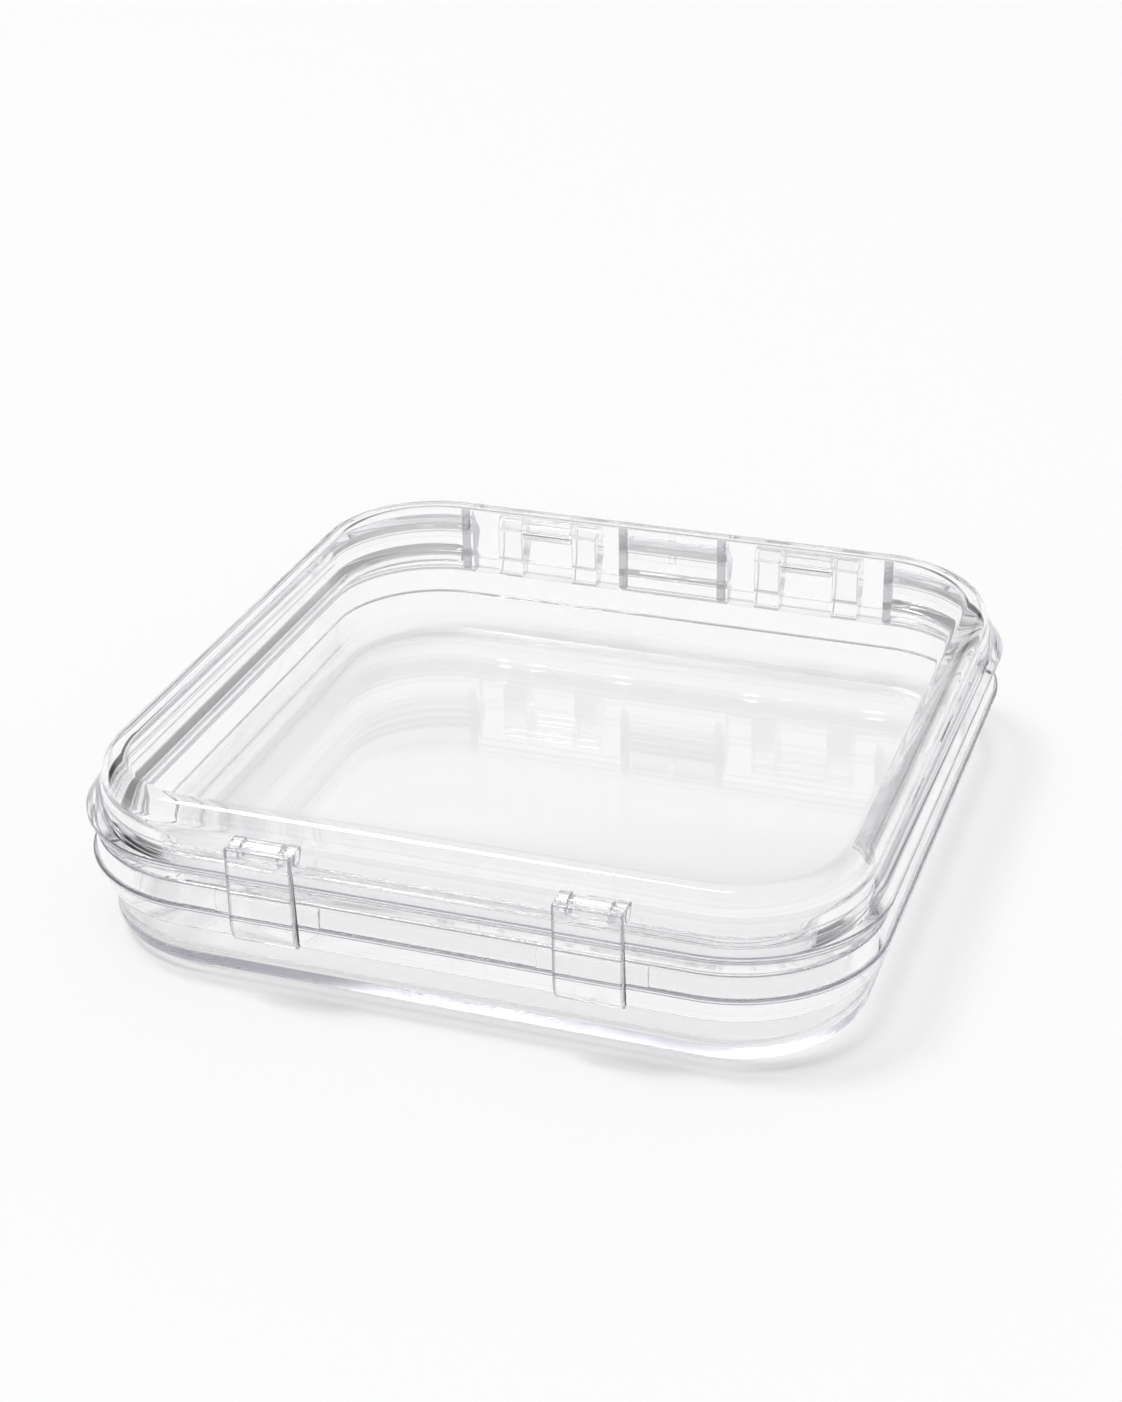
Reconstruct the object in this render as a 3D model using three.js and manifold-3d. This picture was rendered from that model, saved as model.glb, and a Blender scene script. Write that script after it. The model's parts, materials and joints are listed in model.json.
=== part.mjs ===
// Clear square storage box: a shallow tray and a capped lid, joined at the back by two pinned hinges
// and held shut at the front by two pinned latches.
// Millimetres, +Z up. The origin is the middle of the tray's underside, and the latches face -Y.

import * as THREE from 'three';
import { mergeVertices } from 'three/addons/utils/BufferGeometryUtils.js';
import Module from 'manifold-3d';

const wasm = await Module();
wasm.setup();

// Plan: a rounded square, and every outline of the box is this one moved in by an inset
const FLANGE_WIDTH = 120;
const FLANGE_CORNER_RADIUS = 22.2;

// Walls shared by the tray and the lid
const WALL = 1.6;
const EDGE_EASE = 0.3;

// Tray: a tub with a rounded bottom edge, a step out of the wall and a bead under the rim
const FLOOR = 1.6;
const TUB_INSET = 3.1;
const TUB_EDGE_RADIUS = 3;
const FLOOR_FILLET = 3;
const STEP_HEIGHT = 8;
const STEP_OUT = 1.1;
const BEAD_RISE = 4.2;
const BEAD_INSET = 0.35;
const RIM_RISE = 3.65;
const RIM_INSET = 1.2;

// Lid: a skirt that widens to the flange's edge, a flare, and a cap with a rounded top edge
const PARTING_GAP = 0.3;
const SKIRT_INSET = 1.2;
const FLANGE_RISE = 2.75;
const FLANGE_EDGE = 0.5;
const FLARE_RISE = 4.4;
const LEDGE_RISE = 0.9;
const CAP_INSET = 2.7;
const CAP_WALL_HEIGHT = 1;
const CAP_EDGE_RADIUS = 3;
const CAP_TOP = 1.6;

// Locating lip under the lid, inside the tray's rim
const LIP_DEPTH = 1.2;
const LIP_WALL = 1;
const LIP_GAP = 0.3;
const LIP_ROOT = 1.8;

// Hinges: ears on the tray, a knuckle on the lid between them, and a pin through all three
const HINGE_CORNER_MARGIN = 0.8;
const KNUCKLE_RADIUS = 2.3;
const HINGE_PIN_RADIUS = 0.9;
const HINGE_CLEARANCE = 0.3;
const PIN_CLEARANCE = 0.2;
const PIN_END_GAP = 0.25;
const POCKET_WIDTH = 27.4;
const POCKET_DEPTH = 0.7;
const POCKET_ROOF_GAP = 0.5;
const TRAY_POCKET_DROP = 3.4;
const EAR_SPACING = 13.6;
const EAR_WIDTH = 4.4;
const EAR_HEEL = 4.5;
const EAR_FOOT_INSET = 0.6;
const KNUCKLE_WEB = 3.2;
const BACK_RIB_WIDTH = 1;
const BACK_RIB_DEPTH = 0.6;

// Latches: a plate that hangs over the tray's bead, and a pinned barrel behind it in a seat on the flare
const LATCH_CORNER_MARGIN = 6.1;
const LATCH_WIDTH = 10;
const LATCH_SIDE_GAP = 0.3;
const LATCH_GAP = 0.3;
const LATCH_PLATE = 1;
const LATCH_LENGTH = 14;
const LATCH_HEAD = 1.3;
const LATCH_CURL = 3.6;
const CURL_DEPTH = 0.7;
const LATCH_TIP = 0.5;
const BARREL_RADIUS = 1.5;
const BARREL_DROP = 1.3;
const BARREL_SETBACK = 1.6;
const NECK_HEIGHT = 2.2;
const BARREL_GAP = 0.3;
const LATCH_PIN_RADIUS = 0.65;
const CHEEK_WIDTH = 1.8;
const CHEEK_RADIUS = 1.3;
const CHEEK_SKIN = 0.25;
const KEEPER_SIDE = 2.9;
const KEEPER_INSET = 0.6;
const KEEPER_MARGIN = 0.3;

// Fineness of the round stretches
const CORNER_STEPS = 9;
const EDGE_STEPS = 5;
const BARREL_STEPS = 24;

// How far one piece of a moulding runs into another where they are joined
const JOIN = 0.5;

// Heights worked out from the driving sizes
const HALF = FLANGE_WIDTH / 2;
const BEAD_Z = STEP_HEIGHT + BEAD_RISE;
const RIM_Z = BEAD_Z + RIM_RISE;
const LID_Z = RIM_Z + PARTING_GAP;
const FLANGE_Z = LID_Z + FLANGE_RISE;
const LEDGE_Z = FLANGE_Z + LEDGE_RISE;
const FLARE_Z = FLANGE_Z + FLARE_RISE;
const SPRING_Z = FLARE_Z + CAP_WALL_HEIGHT;
const TOP_Z = SPRING_Z + CAP_EDGE_RADIUS;
const TRAY_POCKET_Z = RIM_Z - TRAY_POCKET_DROP;

// Insets worked out from the driving sizes
const STEP_INSET = TUB_INSET - STEP_OUT;
const TUB_INNER = TUB_INSET + WALL;
const CAP_INNER = CAP_INSET + WALL;
const LIP_OUTER = TUB_INNER + LIP_GAP;
const LIP_INNER = LIP_OUTER + LIP_WALL;

// Where the straight sides end and the round corners begin
const CORNER_X = HALF - FLANGE_CORNER_RADIUS;

// Hinge axis, behind the lid's pocket wall and under the pocket's roof
const POCKET_WALL_Y = HALF - CAP_INSET - POCKET_DEPTH;
const HINGE_X = CORNER_X - HINGE_CORNER_MARGIN - POCKET_WIDTH / 2;
const HINGE_Y = POCKET_WALL_Y + HINGE_CLEARANCE + KNUCKLE_RADIUS;
const HINGE_Z = SPRING_Z - POCKET_ROOF_GAP - KNUCKLE_RADIUS;
const HINGE_HALF_LENGTH = EAR_SPACING / 2 + EAR_WIDTH / 2;

// Latch axis: behind the plate, which hangs clear of the flange's edge
const SEAT_WIDTH = LATCH_WIDTH - 2 * CHEEK_WIDTH;
const BARREL_WIDTH = SEAT_WIDTH - 2 * LATCH_SIDE_GAP;
const KEEPER_WIDTH = LATCH_WIDTH + 2 * KEEPER_SIDE;
const PLATE_INNER_Y = -(HALF + LATCH_GAP);
const PLATE_OUTER_Y = PLATE_INNER_Y - LATCH_PLATE;
const LATCH_X = CORNER_X - LATCH_CORNER_MARGIN - KEEPER_WIDTH / 2;
const LATCH_Y = PLATE_INNER_Y + BARREL_SETBACK;
const LATCH_Z = SPRING_Z - BARREL_DROP;
const LATCH_BORE_HALF_LENGTH = LATCH_WIDTH / 2 - CHEEK_SKIN;

// Solids

// A closed geometry as a solid that can be joined and cut
function solid(geometry) {
  geometry.deleteAttribute('normal');
  geometry.deleteAttribute('uv');
  const merged = mergeVertices(geometry, 1e-4);
  const vertProperties = new Float32Array(merged.attributes.position.array);
  const triVerts = new Uint32Array(merged.index.array);
  return new wasm.Manifold(new wasm.Mesh({ numProp: 3, vertProperties, triVerts }));
}

// A solid as a geometry for a mesh
function geometryOf(body) {
  const mesh = body.getMesh();
  const geometry = new THREE.BufferGeometry();
  geometry.setAttribute('position', new THREE.BufferAttribute(new Float32Array(mesh.vertProperties), 3));
  geometry.setIndex(new THREE.BufferAttribute(new Uint32Array(mesh.triVerts), 1));
  return geometry;
}

function box(x0, x1, y0, y1, z0, z1) {
  const geometry = new THREE.BoxGeometry(x1 - x0, y1 - y0, z1 - z0);
  geometry.translate((x0 + x1) / 2, (y0 + y1) / 2, (z0 + z1) / 2);
  return solid(geometry);
}

// A shape drawn in Y and Z, carried along X
function alongX(shape, x0, x1) {
  const options = { depth: x1 - x0, bevelEnabled: false, curveSegments: BARREL_STEPS / 2 };
  const geometry = new THREE.ExtrudeGeometry(shape, options);
  const turn = new THREE.Matrix4().makeBasis(
    new THREE.Vector3(0, 1, 0),
    new THREE.Vector3(0, 0, 1),
    new THREE.Vector3(1, 0, 0),
  );
  geometry.applyMatrix4(turn);
  geometry.translate(x0, 0, 0);
  return solid(geometry);
}

// A round bar along X
function bar(radius, x0, x1, y, z) {
  const geometry = new THREE.CylinderGeometry(radius, radius, x1 - x0, BARREL_STEPS);
  geometry.rotateZ(Math.PI / 2);
  geometry.translate((x0 + x1) / 2, y, z);
  return solid(geometry);
}

function polygon(points) {
  return new THREE.Shape(points.map(([a, b]) => new THREE.Vector2(a, b)));
}

// One outline of the box at an inset and a height, anticlockwise from above
function outline([inset, z]) {
  const radius = FLANGE_CORNER_RADIUS - inset;
  const points = [];
  for (let corner = 0; corner < 4; corner += 1) {
    const start = (corner * Math.PI) / 2;
    const sx = Math.sign(Math.cos(start + Math.PI / 4));
    const sy = Math.sign(Math.sin(start + Math.PI / 4));
    for (let step = 0; step <= CORNER_STEPS; step += 1) {
      const angle = start + (step / CORNER_STEPS) * (Math.PI / 2);
      points.push(sx * CORNER_X + radius * Math.cos(angle), sy * CORNER_X + radius * Math.sin(angle), z);
    }
  }
  return points;
}

// A skin through a row of outlines: up the outside and down the inside.
// An open row is capped at both ends, and a ring's row closes on itself.
function loft(profile, ring) {
  const positions = profile.flatMap(outline);
  const count = 4 * (CORNER_STEPS + 1);
  const index = [];
  const bands = ring ? profile.length : profile.length - 1;
  for (let band = 0; band < bands; band += 1) {
    const low = band * count;
    const high = ((band + 1) % profile.length) * count;
    for (let i = 0; i < count; i += 1) {
      const next = (i + 1) % count;
      index.push(low + i, low + next, high + next, low + i, high + next, high + i);
    }
  }
  if (!ring) {
    const last = (profile.length - 1) * count;
    for (let i = 1; i < count - 1; i += 1) {
      index.push(0, i + 1, i, last, last + i, last + i + 1);
    }
  }
  const geometry = new THREE.BufferGeometry();
  geometry.setAttribute('position', new THREE.BufferAttribute(new Float32Array(positions), 3));
  geometry.setIndex(index);
  return solid(geometry);
}

// A quarter round in a profile, about (inset, z), from one angle to another.
// An angle of 0 points out of the box and a quarter turn points up.
function quarter(inset, z, radius, from, to) {
  const points = [];
  for (let step = 0; step <= EDGE_STEPS; step += 1) {
    const angle = from + ((to - from) * step) / EDGE_STEPS;
    points.push([inset - radius * Math.cos(angle), z + radius * Math.sin(angle)]);
  }
  return points;
}

const QUARTER = Math.PI / 2;

// The two places along X where a pair of like features sits
const HINGES = [-HINGE_X, HINGE_X];
const LATCHES = [-LATCH_X, LATCH_X];
const EARS = [-EAR_SPACING / 2, EAR_SPACING / 2];
const CHEEKS = [-(SEAT_WIDTH + CHEEK_WIDTH) / 2, (SEAT_WIDTH + CHEEK_WIDTH) / 2];

function joinAll(body, others) {
  return others.reduce((sum, other) => sum.add(other), body);
}

function cutAll(body, others) {
  return others.reduce((rest, other) => rest.subtract(other), body);
}

// Tray

function trayShell() {
  return loft([
    ...quarter(TUB_INSET + TUB_EDGE_RADIUS, TUB_EDGE_RADIUS, TUB_EDGE_RADIUS, -QUARTER, 0),
    [TUB_INSET, STEP_HEIGHT - EDGE_EASE],
    [STEP_INSET + EDGE_EASE, STEP_HEIGHT],
    [STEP_INSET, STEP_HEIGHT + EDGE_EASE],
    [BEAD_INSET + EDGE_EASE / 2, BEAD_Z - EDGE_EASE],
    [BEAD_INSET, BEAD_Z],
    [RIM_INSET - EDGE_EASE, RIM_Z - EDGE_EASE],
    [RIM_INSET, RIM_Z],
    [TUB_INNER - EDGE_EASE, RIM_Z],
    [TUB_INNER, RIM_Z - EDGE_EASE],
    ...quarter(TUB_INNER + FLOOR_FILLET, FLOOR + FLOOR_FILLET, FLOOR_FILLET, 0, -QUARTER),
  ], false);
}

// A flat pad between the bead and the rim, behind a latch
function keeper(x) {
  const back = -(HALF - RIM_INSET - JOIN);
  const face = -(HALF - KEEPER_INSET);
  const shape = polygon([
    [back, BEAD_Z],
    [back, RIM_Z - KEEPER_MARGIN],
    [face + EDGE_EASE, RIM_Z - KEEPER_MARGIN],
    [face, RIM_Z - KEEPER_MARGIN - EDGE_EASE],
    [face, BEAD_Z + KEEPER_MARGIN],
  ]);
  return alongX(shape, x - KEEPER_WIDTH / 2, x + KEEPER_WIDTH / 2);
}

// A room in the rim and bead for the hinge's ears, back to the plane of the tub's wall
function trayPocket(x) {
  const y = HALF - TUB_INSET;
  return box(x - POCKET_WIDTH / 2, x + POCKET_WIDTH / 2, y, HALF + JOIN, TRAY_POCKET_Z, RIM_Z + JOIN);
}

// An ear that stands on the pocket's shelf and carries one end of the hinge pin
function ear(x) {
  const front = HINGE_Y - KNUCKLE_RADIUS;
  const back = HINGE_Y + KNUCKLE_RADIUS;
  const root = HALF - TUB_INSET - JOIN;
  const foot = HALF - EAR_FOOT_INSET;
  const shape = new THREE.Shape();
  shape.moveTo(root, TRAY_POCKET_Z - JOIN);
  shape.lineTo(foot - JOIN, TRAY_POCKET_Z - JOIN);
  shape.lineTo(foot, TRAY_POCKET_Z);
  shape.lineTo(back, HINGE_Z - EAR_HEEL);
  shape.absarc(HINGE_Y, HINGE_Z, KNUCKLE_RADIUS, 0, Math.PI, false);
  shape.lineTo(front, RIM_Z);
  shape.lineTo(root, RIM_Z - JOIN);
  return alongX(shape, x - EAR_WIDTH / 2, x + EAR_WIDTH / 2);
}

function hingeBore(x) {
  const reach = HINGE_HALF_LENGTH + JOIN;
  return bar(HINGE_PIN_RADIUS + PIN_CLEARANCE, x - reach, x + reach, HINGE_Y, HINGE_Z);
}

function baseTray() {
  const ears = HINGES.flatMap((x) => EARS.map((dx) => ear(x + dx)));
  const padded = joinAll(trayShell(), LATCHES.map(keeper));
  const eared = joinAll(cutAll(padded, HINGES.map(trayPocket)), ears);
  return cutAll(eared, HINGES.map(hingeBore));
}

// Lid

function lidShell() {
  return loft([
    ...quarter(CAP_INSET + CAP_EDGE_RADIUS, SPRING_Z, CAP_EDGE_RADIUS - CAP_TOP, QUARTER, 0),
    [CAP_INNER, LEDGE_Z],
    [TUB_INNER, LEDGE_Z - (TUB_INNER - CAP_INNER)],
    [TUB_INNER, LID_Z],
    [SKIRT_INSET, LID_Z],
    [SKIRT_INSET - EDGE_EASE, LID_Z + EDGE_EASE],
    [EDGE_EASE / 2, FLANGE_Z - EDGE_EASE],
    [0, FLANGE_Z],
    [0, FLANGE_Z + FLANGE_EDGE],
    [EDGE_EASE / 2, FLANGE_Z + FLANGE_EDGE + EDGE_EASE],
    [CAP_INSET, FLARE_Z],
    ...quarter(CAP_INSET + CAP_EDGE_RADIUS, SPRING_Z, CAP_EDGE_RADIUS, 0, QUARTER),
  ], false);
}

// The lip runs round the front, the sides and the back corners, and stops at the hinges
function locatingLip() {
  const whole = loft([
    [LIP_OUTER, LID_Z - LIP_DEPTH],
    [LIP_OUTER, LID_Z],
    [TUB_INNER - JOIN, LID_Z],
    [TUB_INNER - JOIN, LID_Z + LIP_ROOT],
    [TUB_INNER, LID_Z + LIP_ROOT],
    [LIP_INNER, LID_Z + LIP_ROOT / 2],
    [LIP_INNER, LID_Z - LIP_DEPTH + EDGE_EASE],
    [LIP_INNER - EDGE_EASE, LID_Z - LIP_DEPTH],
  ], true);
  const reach = HINGE_X + POCKET_WIDTH / 2 + WALL;
  return whole.subtract(box(-reach, reach, 0, HALF, LID_Z - LIP_DEPTH - JOIN, TOP_Z));
}

// Walls round a hinge pocket, which stand out into the cap by the pocket's depth
function pocketWalls(x) {
  const reach = POCKET_WIDTH / 2 + WALL;
  const back = HALF - CAP_INNER + JOIN;
  const top = TOP_Z - CAP_TOP + JOIN;
  return box(x - reach, x + reach, POCKET_WALL_Y - WALL, back, LID_Z, top);
}

// The pocket, open at the back and below
function lidPocket(x) {
  const reach = POCKET_WIDTH / 2;
  return box(x - reach, x + reach, POCKET_WALL_Y, HALF + JOIN, LID_Z - JOIN, SPRING_Z);
}

// The lid's knuckle, on a web from the pocket's wall, between the tray's ears
function knuckle(x) {
  const reach = EAR_SPACING / 2 - EAR_WIDTH / 2 - HINGE_CLEARANCE;
  const web = box(
    x - reach,
    x + reach,
    POCKET_WALL_Y - JOIN,
    HINGE_Y,
    HINGE_Z - KNUCKLE_WEB / 2,
    HINGE_Z + KNUCKLE_WEB / 2,
  );
  return bar(KNUCKLE_RADIUS, x - reach, x + reach, HINGE_Y, HINGE_Z).add(web);
}

// A thin upright rib inside the middle of the cap's back wall
function backRib() {
  const face = HALF - CAP_INNER;
  const reach = BACK_RIB_WIDTH / 2;
  return box(-reach, reach, face - BACK_RIB_DEPTH, face + JOIN, LEDGE_Z - JOIN, SPRING_Z);
}

// A cheek with a round front that stands out of the flare beside a barrel and holds one end of its pin
function cheek(x) {
  const root = -(HALF - CAP_INSET - JOIN);
  const shape = new THREE.Shape();
  shape.moveTo(root, LATCH_Z + CHEEK_RADIUS);
  shape.absarc(LATCH_Y, LATCH_Z, CHEEK_RADIUS, QUARTER, 3 * QUARTER, false);
  shape.lineTo(root, LATCH_Z - CHEEK_RADIUS);
  return alongX(shape, x - CHEEK_WIDTH / 2, x + CHEEK_WIDTH / 2);
}

// The hollow in the flare that a latch's barrel turns in
function barrelSeat(x) {
  const reach = SEAT_WIDTH / 2;
  return bar(BARREL_RADIUS + BARREL_GAP, x - reach, x + reach, LATCH_Y, LATCH_Z);
}

function latchBore(x) {
  const reach = LATCH_BORE_HALF_LENGTH;
  return bar(LATCH_PIN_RADIUS + PIN_CLEARANCE, x - reach, x + reach, LATCH_Y, LATCH_Z);
}

function lidBody() {
  const moulding = joinAll(lidShell(), [
    locatingLip(),
    backRib(),
    ...HINGES.map(pocketWalls),
    ...LATCHES.flatMap((x) => CHEEKS.map((dx) => cheek(x + dx))),
  ]);
  const opened = cutAll(moulding, [...HINGES.map(lidPocket), ...LATCHES.map(barrelSeat)]);
  return cutAll(joinAll(opened, HINGES.map(knuckle)), [...HINGES.map(hingeBore), ...LATCHES.map(latchBore)]);
}

// Latches

// The barrel turns on the pin between the lid's cheeks, and a neck joins it to the plate.
// The plate hangs in front of the flange and the bead, and its foot curls in under the bead.
function latch(x) {
  const inner = PLATE_INNER_Y;
  const outer = PLATE_OUTER_Y;
  const top = LATCH_Z + LATCH_HEAD;
  const bottom = LATCH_Z - LATCH_LENGTH;
  const tip = inner + CURL_DEPTH;
  const shape = new THREE.Shape();
  shape.moveTo(inner, top - EDGE_EASE);
  shape.lineTo(inner - EDGE_EASE, top);
  shape.lineTo(outer + EDGE_EASE, top);
  shape.lineTo(outer, top - EDGE_EASE);
  shape.lineTo(outer, bottom + LATCH_CURL);
  shape.quadraticCurveTo(outer, bottom + LATCH_PLATE, tip - LATCH_TIP, bottom);
  shape.lineTo(tip, bottom + LATCH_TIP / 2);
  shape.quadraticCurveTo(inner, bottom + LATCH_CURL / 2, inner, bottom + LATCH_CURL);
  const plate = alongX(shape, x - LATCH_WIDTH / 2, x + LATCH_WIDTH / 2);
  const reach = BARREL_WIDTH / 2;
  const barrel = bar(BARREL_RADIUS, x - reach, x + reach, LATCH_Y, LATCH_Z);
  const neckLow = LATCH_Z - NECK_HEIGHT / 2;
  const neckHigh = LATCH_Z + NECK_HEIGHT / 2;
  const neck = box(x - reach, x + reach, inner - LATCH_PLATE / 2, LATCH_Y, neckLow, neckHigh);
  return joinAll(plate, [barrel, neck]).subtract(latchBore(x));
}

function latchPin(x) {
  const reach = LATCH_BORE_HALF_LENGTH - PIN_END_GAP;
  return bar(LATCH_PIN_RADIUS, x - reach, x + reach, LATCH_Y, LATCH_Z);
}

function hingePin(x) {
  const reach = HINGE_HALF_LENGTH - PIN_END_GAP;
  return bar(HINGE_PIN_RADIUS, x - reach, x + reach, HINGE_Y, HINGE_Z);
}

// Scene

function clearPlastic(colour, roughness) {
  return new THREE.MeshStandardMaterial({ color: colour, roughness, transparent: true, opacity: 0.35 });
}

function part(name, body, material) {
  const mesh = new THREE.Mesh(geometryOf(body), material);
  mesh.name = name;
  return mesh;
}

const [LEFT_LATCH, RIGHT_LATCH] = LATCHES;
const [LEFT_HINGE, RIGHT_HINGE] = HINGES;

const storageBox = new THREE.Group();
storageBox.add(part('base_tray', baseTray(), clearPlastic(0xeff1f3, 0.12)));
storageBox.add(part('lid', lidBody(), clearPlastic(0xf3f5f7, 0.05)));
storageBox.add(part('latch_left', latch(LEFT_LATCH), clearPlastic(0xeef0f4, 0.06)));
storageBox.add(part('latch_right', latch(RIGHT_LATCH), clearPlastic(0xeef0f4, 0.06)));
storageBox.add(part('latch_pin_left', latchPin(LEFT_LATCH), clearPlastic(0xe8ebf0, 0.1)));
storageBox.add(part('latch_pin_right', latchPin(RIGHT_LATCH), clearPlastic(0xe8ebf0, 0.1)));
storageBox.add(part('hinge_pin_left', hingePin(LEFT_HINGE), clearPlastic(0xe8ebf0, 0.1)));
storageBox.add(part('hinge_pin_right', hingePin(RIGHT_HINGE), clearPlastic(0xe8ebf0, 0.1)));

export default storageBox;
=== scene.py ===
"""Clear square storage box: a tray, a hinged lid and two latches of clear acrylic, on a pale studio floor."""

import json
import math

import bpy
import numpy as np
from bpy.props import FloatProperty, FloatVectorProperty, PointerProperty
from mathutils import Matrix, Vector


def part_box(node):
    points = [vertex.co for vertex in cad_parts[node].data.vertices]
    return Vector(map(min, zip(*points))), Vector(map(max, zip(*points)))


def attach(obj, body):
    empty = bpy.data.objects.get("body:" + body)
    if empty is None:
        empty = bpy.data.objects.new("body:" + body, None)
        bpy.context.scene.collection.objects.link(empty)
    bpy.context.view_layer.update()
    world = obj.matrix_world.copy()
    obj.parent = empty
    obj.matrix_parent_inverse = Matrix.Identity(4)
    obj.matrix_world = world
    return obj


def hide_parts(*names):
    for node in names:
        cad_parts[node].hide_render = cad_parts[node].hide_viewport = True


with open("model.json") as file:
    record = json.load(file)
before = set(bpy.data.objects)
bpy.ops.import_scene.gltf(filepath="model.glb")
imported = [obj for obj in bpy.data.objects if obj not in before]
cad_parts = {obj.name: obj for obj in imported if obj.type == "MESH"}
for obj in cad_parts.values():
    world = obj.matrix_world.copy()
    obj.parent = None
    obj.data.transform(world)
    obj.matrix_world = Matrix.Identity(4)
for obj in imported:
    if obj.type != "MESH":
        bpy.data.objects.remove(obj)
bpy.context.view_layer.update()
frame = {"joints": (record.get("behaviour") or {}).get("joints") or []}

bl_info = {
    "name": "Clear Storage Box",
    "version": (1, 0, 0),
    "blender": (4, 5, 0),
    "location": "View3D > Sidebar > Storage Box",
    "description": "Builds a clear hinged storage box around its packed frame",
    "category": "Add Mesh",
}

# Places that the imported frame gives
MM = 0.001
LID_LOW, LID_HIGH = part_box("lid")
LATCH_LOW, LATCH_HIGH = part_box("latch_right")
LATCH_PIN_LOW, LATCH_PIN_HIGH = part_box("latch_pin_right")
HINGE_PIN_LOW, HINGE_PIN_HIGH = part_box("hinge_pin_right")
JOINTS = {joint["name"]: joint for joint in frame["joints"]}
HINGE_Y, HINGE_Z = JOINTS["lid_hinge"]["pos_m"][1:]
LATCH_X, LATCH_Y, LATCH_Z = JOINTS["latch_right_pivot"]["pos_m"]
LATCH_REACH = LATCH_HIGH.x - LATCH_X
HINGE_X = (HINGE_PIN_LOW.x + HINGE_PIN_HIGH.x) / 2
HALF = LID_HIGH.x
TOP = LID_HIGH.z
SIDES = (-1, 1)
SIDE_NAMES = ("left", "right")

# Fineness of the surfaces
CORNER_STEPS = 32
FILLET_STEPS = 10
EDGE_STEPS = 6
ROUND_STEPS = 64

# How far one part of a moulding runs into another
JOIN = 0.5 * MM

# How far the cuts for the hinges reach out past the flange, and the ears' feet past the step
CUT_REACH = 5 * JOIN
EAR_FOOT = 2.5 * JOIN

# Gaps and small sizes inside the mouldings
BORE_GAP = 0.2 * MM
PIN_END_GAP = 0.25 * MM
KNUCKLE_GAP = 0.3 * MM
KNUCKLE_WEB = 1.6 * MM
EAR_SLOPE = 4.5 * MM
KEEPER_DROP = 0.3 * MM
LIP_SLOPE_LOW, LIP_SLOPE_HIGH = 0.9 * MM, 1.8 * MM
LIP_BREAK_DROP = 1.2 * MM
BACK_RIB_WIDTH, BACK_RIB_DEPTH = 1 * MM, 0.6 * MM
RIB_ROOT = 0.05 * MM
RIB_TIP_TURN = 0.1

# Finishing: the length of edges that are merged, the width of faces too narrow to mark, and the turns between
# faces that stay sharp and that still count as round
TINY_EDGE, SLIVER = 0.002 * MM, 0.01 * MM
SHARP_TURN, SMOOTH_TURN = math.radians(50), math.radians(40)

# Painted edge shade, grey on small round edges in place of the dark lines that refraction gives there: how
# close to the edge radius the marks start, their strength on the latches, and how little an upright face's
# normal may rise
FAINTEST_EDGE = 0.7
LATCH_EDGE_SHADE = 0.6
UPRIGHT = 0.05

# Satin faces: the height over which they fade out, and the outward lean at which they are full
SATIN_FADE = 0.2 * MM
SATIN_LEAN = 0.25

# The moulded surface: how fine its waves and its flat streaks are, and how deep
WAVE_SCALE, WAVE_DEPTH = 45, 0.4 * MM
STREAK_SCALE, STREAK_DEPTH = (28, 28, 620), 0.1 * MM

# The photograph's viewpoint, worked out from the box's outlines in it
CAMERA_AZIMUTH = math.radians(19.70)
CAMERA_ELEVATION = math.radians(27.43)
CAMERA_ROLL = math.radians(-1.11)
CAMERA_DISTANCE = 406.1 * MM
CAMERA_ACROSS, CAMERA_UP, CAMERA_LIFT = -0.99 * MM, 17.68 * MM, 1.2 * MM
CAMERA_NEAREST = 10 * MM
FOCAL_PIXELS, LONG_SIDE_PIXELS = 2577, 1402

# The studio, in metres, and the heights of a direction where its pale foot ends and the dark band starts
FLOOR_REACH, FLOOR_DROP = 4.0, 0.2 * MM
FLOOR_ROUGHNESS, FLOOR_SHEEN = 0.9, 0.1
FOOT_END, BAND_START = 0.04, 0.08
STRIP_PLACE, STRIP_LONG, STRIP_WIDE = (-1.0, -0.1, 3.0), 2.1, 0.15
KEY_TOWARD, KEY_SPREAD = (-1.2, -0.1, 3.0), math.radians(14)
MOST_BOUNCES, MOST_SEE_THROUGH = 256, 64


def length(name, description, default):
    """A size property in metres."""
    return FloatProperty(name=name, description=description, default=default, unit="LENGTH", precision=5)


def colour(name, description, default):
    """A colour property."""
    return FloatVectorProperty(name=name, description=description, subtype="COLOR", default=default)


def number(name, description, default, unit="NONE"):
    """A plain number property."""
    return FloatProperty(name=name, description=description, default=default, unit=unit)


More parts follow.
